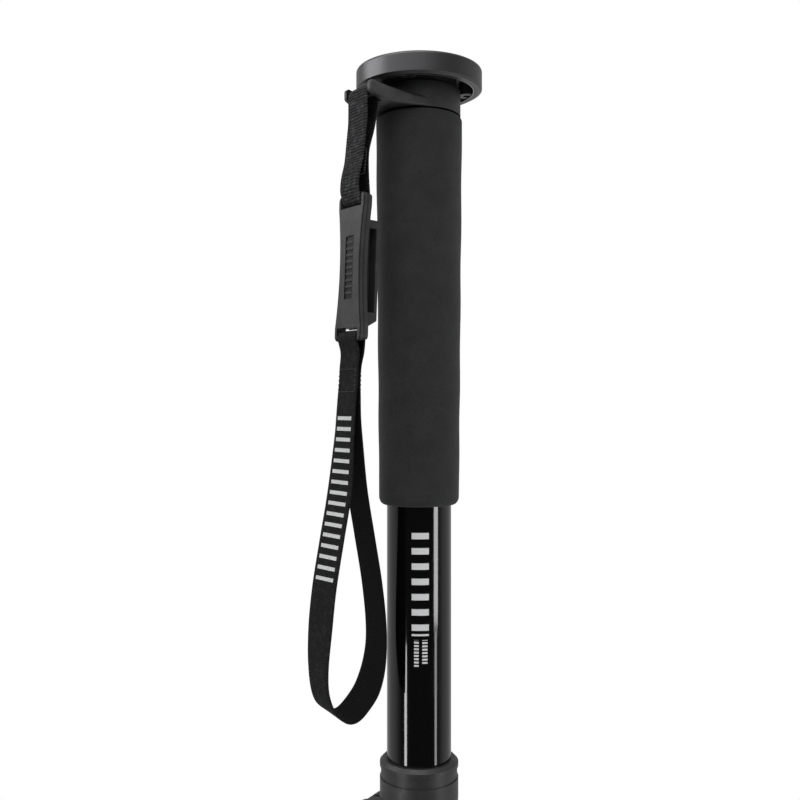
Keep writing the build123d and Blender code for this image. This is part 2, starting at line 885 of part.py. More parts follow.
def make_plate():
    ceiling = plate_top - plate_ceiling
    ring_inner = plate_ring_radius - plate_ring_width
    plate = turned(
        [
            (0, plate_underside),
            (boss_radius, plate_underside),
            (boss_radius, ceiling),
            (ring_inner, ceiling),
            (ring_inner, plate_rim_underside),
            (plate_ring_radius, plate_rim_underside),
            (plate_radius, plate_widest),
            (plate_radius, plate_top),
            (0, plate_top),
        ]
    )
    plate = fillet(rim(plate, plate_radius, plate_top), plate_top_round)
    boss_low = plate_rim_underside + screw_drop
    for boss in around_screws(rod(screw_boss_radius, boss_low, ceiling), screw_circle):
        plate = plate + boss
    for hole in around_screws(rod(screw_radius, boss_low - overrun, plate_top + overrun), screw_circle):
        plate = plate - hole
    pad_floor = plate_top + pad_proud - pad_thickness
    plate = plate - ring(pad_outer_radius, pad_inner_radius, pad_floor, plate_top + overrun)
    shoulder_low = plate_top - stud_shoulder_height
    plate = plate - rod(stud_shoulder_radius, shoulder_low, plate_top + overrun)
    plate = plate - rod(stud_root_radius, plate_underside - overrun, plate_top)
    spigot_top = tube_1_top + hub_spigot_height
    plate = plate - rod(hub_spigot_radius, plate_underside - overrun, spigot_top)
    save(plate, "head_plate")

    pad_top = plate_top + pad_proud
    pad = ring(pad_outer_radius, pad_inner_radius, pad_floor, pad_top)
    groove_inner = (pad_outer_radius + pad_inner_radius - pad_ring_width) / 2
    groove = ring(groove_inner + pad_ring_width, groove_inner, pad_top - pad_ring_depth, pad_top + overrun)
    save(pad - groove, "plate_pad")

    screw_low = boss_low + screw_recess
    screw = rod(screw_radius, screw_low, screw_low + screw_length)
    socket = hexagon(screw_socket_half_flats, screw_socket_depth + overrun)
    screw = screw - Pos(0, 0, screw_low - overrun) * socket
    save(Compound(children=around_screws(screw, screw_circle)), "plate_grub_screws")


def make_stud_and_hub():
    """The stud goes down through the platform into the hub, which plugs the tube."""
    shoulder_low = plate_top - stud_shoulder_height
    root_low = plate_top - stud_root_length
    stud = turned(
        [
            (0, root_low),
            (stud_root_radius, root_low),
            (stud_root_radius, shoulder_low),
            (stud_shoulder_radius, shoulder_low),
            (stud_shoulder_radius, plate_top),
            (stud_radius, plate_top),
            (stud_radius, plate_top + stud_length - stud_chamfer),
            (stud_radius - stud_chamfer, plate_top + stud_length),
            (0, plate_top + stud_length),
        ]
    )
    save(stud, "camera_stud")

    hub = rod(tube_bores[0], hub_bottom, tube_1_top)
    hub = hub + rod(hub_spigot_radius, tube_1_top, tube_1_top + hub_spigot_height)
    hub = hub - rod(stud_root_radius, root_low, plate_top)
    hub = hub - rod(hub_relief_radius, hub_bottom - overrun, hub_bottom + hub_relief_depth)
    save(hub, "head_hub")


make_tubes()
make_guides()
make_locks()
make_foot()
make_grip()
make_strap_collar()
make_upper_loop()
make_connector()
make_connector_back()
make_wrist_loop()
make_plate()
make_stud_and_hub()
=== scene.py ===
import json
import math
import random

import bmesh
import bpy
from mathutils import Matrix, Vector


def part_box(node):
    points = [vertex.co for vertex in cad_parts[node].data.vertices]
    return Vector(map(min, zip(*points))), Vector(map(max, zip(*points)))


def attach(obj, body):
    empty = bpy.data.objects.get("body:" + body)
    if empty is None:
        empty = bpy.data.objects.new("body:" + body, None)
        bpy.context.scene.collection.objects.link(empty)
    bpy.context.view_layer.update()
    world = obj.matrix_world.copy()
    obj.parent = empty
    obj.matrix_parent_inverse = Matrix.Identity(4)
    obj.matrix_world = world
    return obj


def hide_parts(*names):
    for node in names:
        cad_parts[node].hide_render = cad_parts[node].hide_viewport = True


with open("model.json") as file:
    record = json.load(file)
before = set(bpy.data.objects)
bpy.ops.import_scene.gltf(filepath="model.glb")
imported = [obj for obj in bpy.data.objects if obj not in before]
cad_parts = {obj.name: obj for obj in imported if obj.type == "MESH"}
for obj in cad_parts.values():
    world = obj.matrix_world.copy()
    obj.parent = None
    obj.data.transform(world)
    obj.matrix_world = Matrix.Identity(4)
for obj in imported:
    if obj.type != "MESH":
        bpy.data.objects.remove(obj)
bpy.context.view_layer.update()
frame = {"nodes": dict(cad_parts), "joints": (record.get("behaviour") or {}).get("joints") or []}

# A camera monopod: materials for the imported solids, and foam, webbing, stitches and a thread in place of
# plain ones. Lengths are in millimetres, and mm turns them into metres. The floor's rings, the lamps and
# the camera are in metres.

random.seed(7)
nodes = frame["nodes"]
hinges = {joint["name"]: joint for joint in frame["joints"]}
mm = 0.001
full_turn = 2 * math.pi

# The strap hangs in one upright plane: "out" points away from the tube, "across" runs along the ear's bar
ear_angle = math.radians(217.5)
out_way = Vector((math.cos(ear_angle), math.sin(ear_angle), 0))
across_way = Vector((-math.sin(ear_angle), math.cos(ear_angle), 0))
up_way = Vector((0, 0, 1))


def in_strap(out, across, up):
    """A point of the strap's plane, given in millimetres."""
    return out_way * out * mm + across_way * across * mm + up_way * up * mm


def in_mm(metres):
    """A length from the frame, to a hundredth of a millimetre."""
    return round(metres / mm, 2)


def hinge_bar(name):
    """The bar that a strap's hinge turns about, out and up in the strap's plane."""
    x, y, z = hinges[name]["pos_m"]
    return in_mm(math.hypot(x, y)), in_mm(z)


ear_bar = hinge_bar("ear_hinge")
upper_bar = hinge_bar("connector_hinge")
lower_bar = hinge_bar("wrist_hinge")

# Node trees and materials

cool = (1.0, 1.0, 1.04)
neutral = (1.0, 1.0, 1.0)
noise_roughness = 0.55
bar_edge_share = 0.04


def grey(level, tint=cool):
    """A grey of that level, very slightly blue unless another tint is given."""
    return tuple(level * share for share in tint)


class Wiring:
    """Nodes in one emptied node tree. A value is a number, a colour or another node's socket."""

    def __init__(self, tree):
        self.tree = tree
        self.tree.nodes.clear()

    def node(self, kind, **settings):
        made = self.tree.nodes.new(kind)
        for key, value in settings.items():
            setattr(made, key, value)
        return made

    def feed(self, socket, value):
        """Links a socket to another node's socket, or sets its own value."""
        if isinstance(value, bpy.types.NodeSocket):
            self.tree.links.new(value, socket)
        else:
            socket.default_value = value

    def fed(self, kind, *values, **settings):
        """A node's first output, with its first inputs fed in order."""
        made = self.node(kind, **settings)
        for socket, value in zip(made.inputs, values):
            self.feed(socket, value)
        return made.outputs[0]

    def maths(self, operation, first, second=0.0):
        return self.fed("ShaderNodeMath", first, second, operation=operation)

    def times(self, first, second):
        return self.maths("MULTIPLY", first, second)

    def plus(self, first, second):
        return self.maths("ADD", first, second)

    def minus(self, first, second):
        return self.maths("SUBTRACT", first, second)

    def split(self, vector):
        """The three numbers of a vector."""
        made = self.node("ShaderNodeSeparateXYZ")
        self.feed(made.inputs[0], vector)
        return made.outputs

    def between(self, value, low, high, to_low=0.0, to_high=1.0, shape="LINEAR"):
        """A value's place between two ends, held there beyond them, given between two other ends."""
        made = self.node("ShaderNodeMapRange", clamp=True, interpolation_type=shape)
        self.feed(made.inputs["Value"], value)
        ends = {"From Min": low, "From Max": high, "To Min": to_low, "To Max": to_high}
        for name, end in ends.items():
            made.inputs[name].default_value = end
        return made.outputs["Result"]

    def eased(self, value, low, high, to_low=0.0, to_high=1.0):
        """As between, but starting and ending gently."""
        return self.between(value, low, high, to_low, to_high, "SMOOTHSTEP")


class Paint(Wiring):
    """A node material with one Principled shader."""

    def __init__(self, name, colour, roughness, metallic=0.0, specular=0.5):
        self.material = bpy.data.materials.new(name)
        self.material.use_nodes = True
        super().__init__(self.material.node_tree)
        out = self.node("ShaderNodeOutputMaterial")
        self.shader = self.node("ShaderNodeBsdfPrincipled")
        self.tree.links.new(self.shader.outputs[0], out.inputs[0])
        self.set("Base Color", (*colour, 1))
        self.set("Roughness", roughness)
        self.set("Metallic", metallic)
        self.set("Specular IOR Level", specular)
        self.place = self.node("ShaderNodeTexCoord").outputs["Object"]
        self.parts = None

    def set(self, name, value):
        self.feed(self.shader.inputs[name], value)

    def colour(self):
        """What the base colour is fed by so far."""
        return self.shader.inputs["Base Color"].links[0].from_socket

    def axes(self):
        """The object's own x, y and z."""
        if self.parts is None:
            self.parts = self.split(self.place)
        return self.parts

    def radius(self):
        x, y, _ = self.axes()
        return self.maths("SQRT", self.plus(self.times(x, x), self.times(y, y)))

    def map_axes(self, name):
        """The two numbers of one of the mesh's maps."""
        uv = self.node("ShaderNodeUVMap", uv_map=name)
        return self.split(uv.outputs[0])[:2]

    def stretched(self, x, y, z):
        """The object's place scaled by a different amount along each axis."""
        made = self.node("ShaderNodeMapping")
        self.feed(made.inputs["Vector"], self.place)
        made.inputs["Scale"].default_value = (x, y, z)
        return made.outputs[0]

    def noise(self, scale, detail, place=None):
        """Soft lumps between 0 and 1, about so many to a metre of the object."""
        made = self.node("ShaderNodeTexNoise")
        self.feed(made.inputs["Vector"], self.place if place is None else place)
        made.inputs["Scale"].default_value = scale
        made.inputs["Detail"].default_value = detail
        made.inputs["Roughness"].default_value = noise_roughness
        return made.outputs["Fac"]

    def near(self, value, centre, width):
        """1 where a value is at the centre, falling to 0 at the width."""
        away = self.maths("ABSOLUTE", self.minus(value, centre))
        return self.between(away, 0.0, width, 1.0, 0.0)

    def within(self, value, low, high, soft):
        """Rises to 1 just past the low end and falls back to 0 just past the high end."""
        rise = self.between(value, low, low + soft)
        return self.times(rise, self.between(value, high, high + soft, 1.0, 0.0))

    def bars(self, value, start, pitch, share):
        """Plain bars along a value: 1 on the first share of each pitch, counted from the start."""
        step = self.maths("FRACT", self.maths("DIVIDE", self.minus(value, start), pitch))
        return self.between(step, share, share + bar_edge_share, 1.0, 0.0)

    def mixed(self, share, first, second):
        """A colour that goes from the first to the second with the share."""
        made = self.node("ShaderNodeMix", data_type="RGBA")
        self.feed(made.inputs["Factor"], share)
        colours = [s for s in made.inputs if s.type == "RGBA"]
        for socket, value in zip(colours, (first, second)):
            self.feed(socket, (*value, 1) if isinstance(value, tuple) else value)
        return [s for s in made.outputs if s.type == "RGBA"][0]

    def bump(self, height, depth, strength):
        """Adds relief to what the surface has so far. Depth is in millimetres."""
        made = self.node("ShaderNodeBump")
        made.inputs["Strength"].default_value = strength
        made.inputs["Distance"].default_value = depth * mm
        self.feed(made.inputs["Height"], height)
        before = self.shader.inputs["Normal"]
        if before.is_linked:
            self.feed(made.inputs["Normal"], before.links[0].from_socket)
        self.feed(before, made.outputs[0])


def gloss_tube(name, base, rough, marks=()):
    """Glossy paint on drawn metal, with plain white marks on its front half.

    A mark gives its two ends across, its two ends in height, the pitch of its bars and their share of it.
    """
    paint = Paint(name, grey(base), rough)
    x, y, z = paint.axes()
    drawn = paint.noise(1.0, 4.0, paint.stretched(900, 900, 14))
    smudge = paint.between(paint.noise(60, 4.0), 0.35, 0.75, rough, rough + 0.05)
    paint.set("Roughness", paint.plus(smudge, paint.between(drawn, 0.3, 0.7, 0.0, 0.02)))
    speck = paint.between(paint.noise(2600, 1.0), 0.76, 0.82)
    colour = paint.mixed(speck, grey(base), grey(base * 5))
    soft = 0.08 * mm
    for left, right, low, high, pitch, share in marks:
        bars = paint.bars(z, low * mm, pitch * mm, share)
        breadth = paint.within(x, left * mm, right * mm - soft, soft)
        height = paint.within(z, low * mm, high * mm - soft, soft)
        in_front = paint.between(y, -soft, 0.0, 1.0, 0.0)
        shown = paint.times(paint.times(bars, breadth), paint.times(height, in_front))
        colour = paint.mixed(shown, colour, grey(0.86, neutral))
    paint.set("Base Color", colour)
    paint.bump(drawn, 0.004, 0.5)
    paint.bump(paint.noise(420, 2.0), 0.02, 0.25)
    return paint


def moulded(name, base, rough, grain, scale=2600, specular=0.5):
    """Moulded plastic with a fine grain, and broad patches a little lighter and darker from handling."""
    tint = (1.0, 1.0, 1.03)
    paint = Paint(name, grey(base, tint), rough, specular=specular)
    fine = paint.noise(scale, 2.0)
    patches = paint.between(paint.noise(140, 4.0), 0.3, 0.72)
    paint.set("Base Color", paint.mixed(patches, grey(base * 0.85, tint), grey(base * 1.3, tint)))
    paint.set("Roughness", paint.between(paint.noise(500, 3.0), 0.3, 0.7, rough - 0.05, rough + 0.07))
    paint.bump(fine, grain, 0.8)
    return paint


def painted_corner_shade(paint, distance, level):
    """Darkens a moulding where other faces stand near: painted shade in its corners and under what stands
    over it.
    """
    nearby = paint.node("ShaderNodeAmbientOcclusion", samples=8)
    nearby.inputs["Distance"].default_value = distance * mm
    unshaded_share = paint.between(nearby.outputs["AO"], 0.42, 1.0)
    paint.set("Base Color", paint.mixed(unshaded_share, grey(level), paint.colour()))


def seam_lines(paint, lean, middle, seams):
    """Dark lines where the halves of a moulding in the strap's plane meet.

    Middle is a point (out, up) of its middle plane, which leans back by lean. A seam gives its depth
    from that plane and its half width.
    """
    x, y, z = paint.axes()
    out = paint.plus(paint.times(x, out_way.x), paint.times(y, out_way.y))
    turned = paint.plus(paint.times(out, math.cos(lean)), paint.times(z, math.sin(lean)))
    middle_depth = (middle[0] * math.cos(lean) + middle[1] * math.sin(lean)) * mm
    depth = paint.minus(turned, middle_depth)
    colour = paint.colour()
    for place, half in seams:
        colour = paint.mixed(paint.near(depth, place * mm, half * mm), colour, grey(0.002))
    paint.set("Base Color", colour)


def turned_metal(name, base, rough, metallic, line_depth, bright=()):
    """Metal turned on a lathe, with fine rings, and bright where an edge was cut through the finish.

    A bright edge gives its radius, its two ends in height, its half width and how light it is.
    """
    paint = Paint(name, grey(base), rough, metallic)
    z = paint.axes()[2]
    ring = paint.radius()
    fineness = 5200
    soft = 0.05 * mm
    place = paint.fed("ShaderNodeCombineXYZ", paint.times(ring, fineness), paint.times(z, fineness))
    lines = paint.noise(1.0, 2.0, place)
    patches = paint.between(paint.noise(1.0, 3.0), 0.3, 0.7)
    colour = paint.mixed(patches, grey(base * 0.92), grey(base * 1.08))
    for radius, low, high, width, level in bright:
        edge = paint.near(ring, radius * mm, width * mm)
        strip = paint.times(edge, paint.within(z, low * mm, high * mm, soft))
        wear = paint.between(paint.noise(300, 3.0), 0.25, 0.5, 0.55, 1.0)
        colour = paint.mixed(paint.times(strip, wear), colour, grey(level))
    paint.set("Base Color", colour)
    paint.set("Roughness", paint.between(lines, 0.3, 0.7, rough - 0.05, rough + 0.06))
    paint.bump(lines, line_depth, 0.6)
    paint.bump(paint.noise(3200, 2.0), 0.006, 0.6)
    return paint


def foam_paint():
    """Cellular rubber foam: small cells, open pits and a soft, dull surface."""
    paint = Paint("foam_cells", grey(0.026), 0.93, specular=0.22)
    cells = paint.node("ShaderNodeTexVoronoi")
    paint.feed(cells.inputs["Vector"], paint.place)
    cells.inputs["Scale"].default_value = 2400
    broad = paint.noise(95, 5.0)
    pits = paint.between(paint.noise(900, 2.0), 0.28, 0.40, 1.0, 0.0)
    body = paint.mixed(paint.between(broad, 0.3, 0.7), grey(0.0215), grey(0.0315))
    paint.set("Base Color", paint.mixed(paint.times(pits, 0.6), body, grey(0.012)))
    paint.set("Sheen Weight", 0.10)
    paint.set("Sheen Roughness", 0.6)
    paint.bump(broad, 0.10, 0.5)
    paint.bump(paint.noise(1900, 3.0), 0.10, 0.8)
    paint.bump(cells.outputs["Distance"], 0.06, 0.7)
    return paint


def webbing_paint(name, base, pitch, relief, contrast, shine, inner, print_run=None):
    """Woven nylon. The mesh's map "weave" gives millimetres across and along, and "outer" is 1 outside.

    Pitch is the distance from one cross rib to the next. Inner is how light the inner face is painted beside
    the outer one, as painted shade. A print run gives its low and high end along the webbing, half its
    width, the pitch of its plain bars and their share of it.
    """
    paint = Paint(name, grey(base), 0.80, specular=shine)
    across, along = paint.map_axes("weave")
    outside = paint.between(paint.map_axes("outer")[0], 0.4, 0.6)
    column_pitch = 1.05
    drift_share = 0.28
    step_share = 0.12

    # The ribs wander a little and step from one column of warp to the next
    drift = paint.between(paint.noise(330, 2.0), 0.3, 0.7, -drift_share * pitch, drift_share * pitch)
    warp = paint.maths("SINE", paint.times(across, full_turn / column_pitch))
    step = paint.times(paint.maths("SIGN", warp), step_share * pitch)
    place = paint.plus(paint.plus(along, drift), step)
    weft = paint.maths("SINE", paint.times(place, full_turn / pitch))
    rib = paint.between(weft, -0.3, 0.9)
    columns = paint.between(paint.maths("ABSOLUTE", warp), 0.0, 0.6)
    cloth = paint.plus(paint.times(rib, 0.75), paint.times(columns, 0.25))

    # Ribs are lighter than the gaps: the weave's pattern, plus painted shade in the gaps and painted
    # highlight on the ribs. They are lighter again where rubbed, and the inner face is darker with painted
    # shade
    level = paint.mixed(cloth, grey(base * (1 - contrast)), grey(base * (1 + contrast)))
    rubbed = paint.times(paint.between(paint.noise(420, 4.0), 0.50, 0.62), cloth)
    level = paint.mixed(paint.times(rubbed, min(1.0, contrast)), level, grey(base * 3.4))
    painted_inner_shade = paint.mixed(cloth, grey(base * inner * 0.3), grey(base * inner * 2.2))
    level = paint.mixed(outside, painted_inner_shade, level)
    if print_run:
        low, high, half, bar_pitch, bar_share = print_run
        bars = paint.bars(along, low, bar_pitch, bar_share)
        breadth = paint.between(paint.maths("ABSOLUTE", across), half, half + 0.15, 1.0, 0.0)
        shown = paint.times(paint.within(along, low, high, 0.1), breadth)
        shown = paint.times(shown, paint.times(bars, outside))
        shown = paint.times(shown, paint.between(cloth, 0.05, 0.4, 0.80, 1.0))
        level = paint.mixed(shown, level, grey(0.80, neutral))
    paint.set("Base Color", level)

    fuzz = paint.noise(5200, 3.0)
    paint.set("Roughness", paint.between(fuzz, 0.3, 0.7, 0.70, 0.88))
    paint.set("Sheen Weight", shine * 0.25)
    paint.set("Sheen Roughness", 0.5)
    paint.bump(cloth, relief, 0.9)
    paint.bump(fuzz, 0.03, 0.5)
    return paint


def thread_paint(name, base):
    """Twisted sewing thread."""
    paint = Paint(name, grey(base), 0.6, specular=0.4)
    twist = paint.node("ShaderNodeTexWave", wave_type="BANDS", bands_direction="DIAGONAL")
    paint.feed(twist.inputs["Vector"], paint.place)
    twist.inputs["Scale"].default_value = 900
    twist.inputs["Distortion"].default_value = 1.5
    paint.set("Base Color", paint.mixed(twist.outputs["Fac"], grey(base * 0.5), grey(base * 1.4)))
    paint.set("Sheen Weight", 0.2)
    paint.bump(twist.outputs["Fac"], 0.05, 0.7)
    return paint


def rubber_paint():
    """Moulded rubber, dusty near the ground."""
    paint = Paint("rubber_moulded", grey(0.020), 0.72, specular=0.3)
    z = paint.axes()[2]
    dust_height = 9 * mm
    low_down = paint.between(z, 0.0, dust_height, 1.0, 0.0)
    dusty = paint.times(low_down, paint.between(paint.noise(180, 5.0), 0.35, 0.7))
    paint.set("Base Color", paint.mixed(paint.times(dusty, 0.5), grey(0.020), (0.060, 0.055, 0.048)))
    paint.set("Roughness", paint.between(paint.noise(260, 3.0), 0.3, 0.7, 0.62, 0.82))
    paint.bump(paint.noise(1700, 3.0), 0.05, 0.8)
    return paint


def coat(piece, paint):
    """Gives a piece one material in place of those it has."""
    piece.data.materials.clear()
    piece.data.materials.append(paint.material)


def dress(names, paint):
    """Gives carried-over CAD nodes their material."""
    for name in names:
        coat(nodes[name], paint)


def finish_piece(piece, body, paint):
    """Gives one of this script's own pieces its material and the body that it rides on."""
    coat(piece, paint)
    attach(piece, body)


# Mesh tools

same_place = 1e-7


def circle(radius, height, steps):
    """Corners round Z, from a radius and a height in millimetres."""
    turns = [full_turn * step / steps for step in range(steps)]
    return [(radius * math.cos(t) * mm, radius * math.sin(t) * mm, height * mm) for t in turns]


def band(low, high, count):
    """The faces between two closed rings of corners, each given by its first corner."""
    pairs = [(k, (k + 1) % count) for k in range(count)]
    return [(low + k, low + after, high + after, high + k) for k, after in pairs]


def link(name, mesh):
    """A smoothly shaded object with that mesh, in the scene."""
    for face in mesh.polygons:
        face.use_smooth = True
    piece = bpy.data.objects.new(name, mesh)
    bpy.context.scene.collection.objects.link(piece)
    return piece


def outward(mesh, merge=0.0):
    """Turns a mesh's faces outward, after joining corners closer than merge."""
    work = bmesh.new()
    work.from_mesh(mesh)
    if merge:
        bmesh.ops.remove_doubles(work, verts=work.verts, dist=merge)
    bmesh.ops.recalc_face_normals(work, faces=work.faces)
    work.to_mesh(mesh)
    work.free()


def mesh_piece(name, corners, faces):
    """A piece from its corners, in metres, and its faces."""
    mesh = bpy.data.meshes.new(name)
    mesh.from_pydata([tuple(c) for c in corners], [], faces)
    mesh.validate()
    outward(mesh, merge=same_place)
    return link(name, mesh)


def lathe(name, profile, steps, wobble):
    """A body turned about Z from a closed line of radius and height in millimetres."""
    corners = []
    faces = []
    count = len(profile)
    for step in range(steps):
        turn = full_turn * step / steps
        for radius, height in profile:
            grown = radius + wobble(turn, height)
            corners.append((grown * math.cos(turn) * mm, grown * math.sin(turn) * mm, height * mm))
        faces += band(step * count, (step + 1) % steps * count, count)
    return mesh_piece(name, corners, faces)


def smooth_line(points, per_run, closed):
    """A Catmull-Rom curve through points given out and up."""
    count = len(points)
    line = []
    for run in range(count if closed else count - 1):
        picks = [k % count if closed else min(max(k, 0), count - 1) for k in range(run - 1, run + 3)]
        p0, p1, p2, p3 = (Vector(points[k]) for k in picks)
        for step in range(per_run):
            t = step / per_run
            slope = (p2 - p0) * t
            bend = (2 * p0 - 5 * p1 + 4 * p2 - p3) * t * t
            curl = (3 * p1 - p0 - 3 * p2 + p3) * t ** 3
            line.append(0.5 * ((2 * p1) + slope + bend + curl))
    if not closed:
        line.append(Vector(points[-1]))
    return line


def even_line(line, spacing, closed):
    """The same line with its points a fixed distance apart, and its length."""
    ends = line + [line[0]] if closed else line
    lengths = [0.0]
    for a, b in zip(ends, ends[1:]):
        lengths.append(lengths[-1] + (b - a).length)
    total = lengths[-1]
    fewest_points = 8
    shortest_run = 1e-9
    count = max(fewest_points, round(total / spacing))
    made = []
    index = 0
    for step in range(count if closed else count + 1):
        want = total * step / count
        while index < len(lengths) - 2 and lengths[index + 1] < want:
            index += 1
        run = max(lengths[index + 1] - lengths[index], shortest_run)
        made.append(ends[index].lerp(ends[index + 1], (want - lengths[index]) / run))
    return made, total


def webbing_section():
    """Places round a webbing's section: the share of its half width, and 1 outside or -1 inside.

    They crowd towards the woven edges.
    """
    columns = 14
    crowding = 0.35
    shares = [-1 + 2 * column / columns for column in range(columns + 1)]
    across = [math.sin(s * math.pi / 2) * crowding + s * (1 - crowding) for s in shares]
    return [(a, 1) for a in across] + [(a, -1) for a in reversed(across[1:-1])]


def half_thickness(share, thickness):
    """Webbing is flat over nearly all its width, thins at its woven edges and closes at the last corner."""
    edge_thickness_share = 0.12
    fullness = math.sqrt(max(0.0, 1 - abs(share) ** 10))
    if abs(share) == 1:
        return 0.0
    return thickness / 2 * (edge_thickness_share + (1 - edge_thickness_share) * fullness)


def webbing_maps(mesh, places, sides, total):
    """The map "weave" gives millimetres across and along, and "outer" is 1 on the outer face."""
    weave = mesh.uv_layers.new(name="weave")
    outer = mesh.uv_layers.new(name="outer")
    for face in mesh.polygons:
        spots = [places[v] for v in face.vertices]
        wraps = max(s[1] for s in spots) - min(s[1] for s in spots) > total / 2
        for loop, vertex, spot in zip(face.loop_indices, face.vertices, spots):
            along = spot[1] + total if wraps and spot[1] < total / 2 else spot[1]
            weave.data[loop].uv = (spot[0], along)
            outer.data[loop].uv = (0.5 + sides[vertex] * 0.5, 0.0)


def webbing(name, line, total, width, thickness, closed=True, lean=None):
    """A strip of webbing along a line of (out, up) points. Lean gives its twist at a share of the length."""
    count = len(line)
    runs = count if closed else count - 1
    section = webbing_section()
    ring = len(section)
    corners = []
    places = []
    for index, point in enumerate(line):
        if closed:
            before, after = line[index - 1], line[(index + 1) % count]
        else:
            before, after = line[max(index - 1, 0)], line[min(index + 1, count - 1)]
        way = (after - before).normalized()
        normal = Vector((way[1], -way[0]))
        along = total * index / runs
        tilt = lean(along / total) if lean else 0.0
        for share, side in section:
            across = share * width / 2
            lift = side * half_thickness(share, thickness) + across * math.sin(tilt)
            place = point + normal * lift
            corners.append(in_strap(place[0], across * math.cos(tilt), place[1]))
            places.append((across, along))
    faces = []
    for index in range(runs):
        faces += band(index * ring, (index + 1) % count * ring, ring)
    if not closed:
        faces.append(tuple(range(ring)))
        faces.append(tuple(reversed(range((count - 1) * ring, count * ring))))
    mesh = bpy.data.meshes.new(name)
    mesh.from_pydata([tuple(c) for c in corners], [], faces)
    webbing_maps(mesh, places, [side for _ in line for _, side in section], total)
    outward(mesh)
    return link(name, mesh)


def stitches(name, runs):
    """Short arched threads.

    A run gives its two ends (out, across, up), how many threads it has, and the way they stand out.
    """
    radius = 0.24
    gap_share = 0.10
    end_share = 0.2
    slim_share = 0.35
    arch_share = 0.9
    sunk_share = 0.5
    sides = 6
    rings = 7
    corners = []
    faces = []
    for start, end, number, proud in runs:
        start, end, proud = Vector(start), Vector(end), Vector(proud).normalized()
        for index in range(number):
            a = start.lerp(end, (index + gap_share) / number)
            b = start.lerp(end, (index + 1 - gap_share) / number)
            side = (b - a).normalized().cross(proud).normalized()
            base = len(corners)
            for ring in range(rings):
                share = ring / (rings - 1)
                arch = math.sin(math.pi * share)
                size = radius * end_share
                if 0 < share < 1:
                    size = radius * (slim_share + (1 - slim_share) * math.sqrt(arch))
                centre = a.lerp(b, share) + proud * radius * (arch * arch_share - sunk_share)
                for corner in range(sides):
                    turn = full_turn * corner / sides
                    spot = centre + proud * math.sin(turn) * size + side * math.cos(turn) * size
                    corners.append(in_strap(*spot))
            for ring in range(rings - 1):
                faces += band(base + ring * sides, base + (ring + 1) * sides, sides)
            faces.append(tuple(base + k for k in reversed(range(sides))))
            faces.append(tuple(base + (rings - 1) * sides + k for k in range(sides)))
    return mesh_piece(name, corners, faces)


# Finishes of the rigid pieces

# The platform's ring and recess were cut after the finish: radius, low, high, half width, level
plate_bright = [(27.7, 472.3, 472.7, 0.15, 0.30), (25.3, 472.3, 472.6, 0.35, 0.45)]
# Plain bars and ticks stand where the real tube has its print: left, right, low, high, pitch, share
tube_marks = [
    (-3.7, 4.2, 224.7, 269.0, 6.9, 0.40),
    (-3.7, 4.2, 222.3, 223.3, 9.0, 0.9),
    (-2.6, -0.4, 208.5, 220.6, 1.5, 0.55),
    (1.1, 3.6, 209.8, 220.6, 1.5, 0.55),
]
# The two seams along the connector's edge: depth from its middle plane, half width
connector_seams = [(0.1, 0.45), (2.15, 0.40)]
connector_lean = math.radians(2.3)

plate_paint = turned_metal(
    "plate_satin", base=0.080, rough=0.36, metallic=0.75, line_depth=0.008, bright=plate_bright
)
dress(["head_plate"], plate_paint)
outer_tube_paint = gloss_tube("tube_gloss", base=0.0025, rough=0.06, marks=tube_marks)
dress(["tube_1"], outer_tube_paint)
inner_tube_paint = gloss_tube("tube_inner", base=0.010, rough=0.24)
dress(["tube_2", "tube_3", "tube_4"], inner_tube_paint)
hub_paint = turned_metal("hub_turned", base=0.55, rough=0.32, metallic=1.0, line_depth=0.010)
dress(["head_hub"], hub_paint)
dress(["plate_pad"], rubber_paint())
dress(["rubber_foot"], rubber_paint())
screw_paint = turned_metal("screw_black", base=0.10, rough=0.30, metallic=1.0, line_depth=0.008)
dress(["plate_grub_screws"], screw_paint)

collar_paint = moulded("collar_moulded", base=0.060, rough=0.46, grain=0.02, specular=0.24)
# Painted shade on the collar under the platform and under the ear
painted_corner_shade(collar_paint, distance=16.0, level=0.0048)
dress(["strap_collar"], collar_paint)

lock_paint = moulded("lock_moulded", base=0.022, rough=0.46, grain=0.05, scale=1700)
dress(["lock_body_1", "lock_body_2", "lock_body_3", "foot_plug"], lock_paint)
lever_paint = moulded("lever_moulded", base=0.028, rough=0.38, grain=0.04, scale=1900)
dress(["lock_lever_1", "lock_lever_2", "lock_lever_3"], lever_paint)

connector_paint = moulded(
    "connector_moulded", base=0.048, rough=0.46, grain=0.02, scale=2400, specular=0.24
)
seam_lines(connector_paint, connector_lean, upper_bar, connector_seams)
dress(["strap_connector"], connector_paint)
connector_rear_paint = moulded(
    "connector_rear_moulded", base=0.046, rough=0.46, grain=0.02, scale=2400, specular=0.30
)
dress(["connector_back"], connector_rear_paint)

guide_paint = moulded("guide_moulded", base=0.32, rough=0.5, grain=0.02)
dress(["guide_2", "guide_3", "guide_4"], guide_paint)
dress(["lock_liner_1", "lock_liner_2", "lock_liner_3"], guide_paint)
steel = turned_metal("steel_plated", base=0.52, rough=0.28, metallic=1.0, line_depth=0.006)
for kind in ("lock_bolt", "lock_nut", "lock_saddle", "lock_pin"):
    dress([f"{kind}_{k}" for k in (1, 2, 3)], steel)

# Camera stud with its thread

plate_top = in_mm(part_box("head_plate")[1].z)
thread_pitch = 1.27
thread_crest = 3.175
thread_root = 2.62
flank_slope = 2.6
crest_flat_share = 0.12
point_chamfer = 0.75
point_slope = 1.1
point_root_share = 0.92
point_root_slope = 3
point_dip = 0.02
stud_steps = 72
stud_rows = 76
flange_radius = 6.2
flange_chamfer = 0.3
flange_depth = 1.4
flange_seat = 0.1
shank_radius = 4.76
closing_radius = 0.01
sharp_angle = math.radians(32)
stud_low, stud_top = (corner.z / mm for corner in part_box("camera_stud"))


